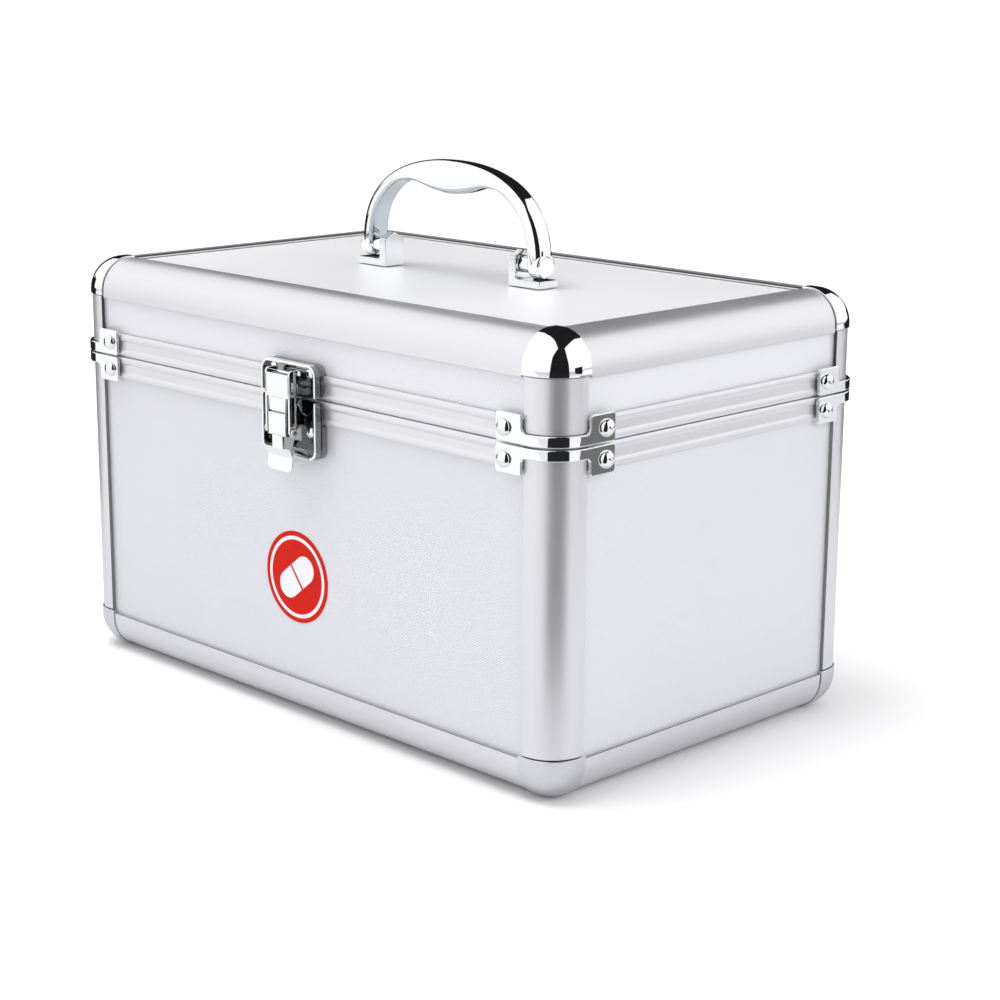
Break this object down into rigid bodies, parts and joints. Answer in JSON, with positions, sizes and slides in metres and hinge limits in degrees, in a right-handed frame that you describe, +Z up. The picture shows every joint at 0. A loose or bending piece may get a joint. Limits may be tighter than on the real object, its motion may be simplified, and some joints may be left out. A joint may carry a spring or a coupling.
{
  "type": "medicine case",
  "caption": "Aluminium-framed medicine case with a hinged lid, chrome corner braces, a front draw latch and a swinging carrying handle.",
  "frame": {"origin": "on the surface that the case stands on, under the middle of its overall box", "axes": "+X to the right along the case's length, +Y to the rear where the hinge is, +Z up; the latch is at the front, towards -Y"},
  "size_m": [0.2574, 0.1674, 0.1915],
  "materials": {
    "satin_extrusion": "satin anodised, with fine lines along the extrusion",
    "patterned_board": "fine diagonal ribbed sheet with a silver-grey sheen",
    "chrome": "polished chrome plate",
    "satin_cap": "satin silver cast cap",
    "lining": "dark foam lining with a soft nap"
  },
  "bodies": {
    "base": {"base_post_front_left": "satin_extrusion", "base_post_front_right": "satin_extrusion", "base_post_rear_left": "satin_extrusion", "base_post_rear_right": "satin_extrusion", "base_front_edge": "satin_extrusion", "base_rear_edge": "satin_extrusion", "base_left_edge": "satin_extrusion", "base_right_edge": "satin_extrusion", "base_corner_front_left": "satin_cap", "base_corner_front_right": "satin_cap", "base_corner_rear_left": "satin_cap", "base_corner_rear_right": "satin_cap", "base_front_panel": "patterned_board", "base_rear_panel": "patterned_board", "base_left_panel": "patterned_board", "base_right_panel": "patterned_board", "base_floor_panel": "patterned_board", "base_liner": "lining", "base_rim": "satin_extrusion", "base_brace_front_left": "chrome", "base_brace_front_right": "chrome", "base_brace_rear_left": "chrome", "base_brace_rear_right": "chrome", "latch_base_plate": "chrome", "latch_lever_pin": "chrome", "hinge_base_leaf": "chrome", "hinge_pin": "chrome"},
    "lid": {"lid_post_front_left": "satin_extrusion", "lid_post_front_right": "satin_extrusion", "lid_post_rear_left": "satin_extrusion", "lid_post_rear_right": "satin_extrusion", "lid_front_edge": "satin_extrusion", "lid_rear_edge": "satin_extrusion", "lid_left_edge": "satin_extrusion", "lid_right_edge": "satin_extrusion", "lid_corner_front_left": "chrome", "lid_corner_front_right": "chrome", "lid_corner_rear_left": "chrome", "lid_corner_rear_right": "chrome", "lid_front_panel": "patterned_board", "lid_rear_panel": "patterned_board", "lid_left_panel": "patterned_board", "lid_right_panel": "patterned_board", "lid_top_panel": "patterned_board", "lid_liner": "lining", "lid_rim": "satin_extrusion", "lid_brace_front_left": "chrome", "lid_brace_front_right": "chrome", "lid_brace_rear_left": "chrome", "lid_brace_rear_right": "chrome", "handle_bracket_left": "chrome", "handle_pin_left": "chrome", "handle_bracket_right": "chrome", "handle_pin_right": "chrome", "latch_catch_plate": "chrome", "hinge_lid_leaf": "chrome"},
    "handle": {"handle_grip": "chrome"},
    "latch_lever": {"latch_lever": "chrome"},
    "latch_loop": {"latch_loop": "chrome", "latch_loop_pin": "chrome"}
  },
  "joints": [
    {"name": "lid_hinge", "type": "hinge", "parent": "base", "child": "lid", "pos_m": [0, 0.08155, 0.1165], "axis": [-1, 0, 0], "range_deg": [0, 105]},
    {"name": "handle_swing", "type": "hinge", "parent": "lid", "child": "handle", "pos_m": [0, 0.00125, 0.158], "axis": [1, 0, 0], "range_deg": [-90, 90]},
    {"name": "latch_lever_turn", "type": "hinge", "parent": "base", "child": "latch_lever", "pos_m": [0.002, -0.07885, 0.1153], "axis": [-1, 0, 0], "range_deg": [0, 90]},
    {"name": "latch_loop_turn", "type": "hinge", "parent": "latch_lever", "child": "latch_loop", "pos_m": [0.002, -0.08175, 0.1053], "axis": [-1, 0, 0], "range_deg": [-58.5, 0]}
  ],
  "couplings": [
    {"joint": "latch_loop_turn", "follows": "latch_lever_turn", "ratio": -0.65}
  ]
}
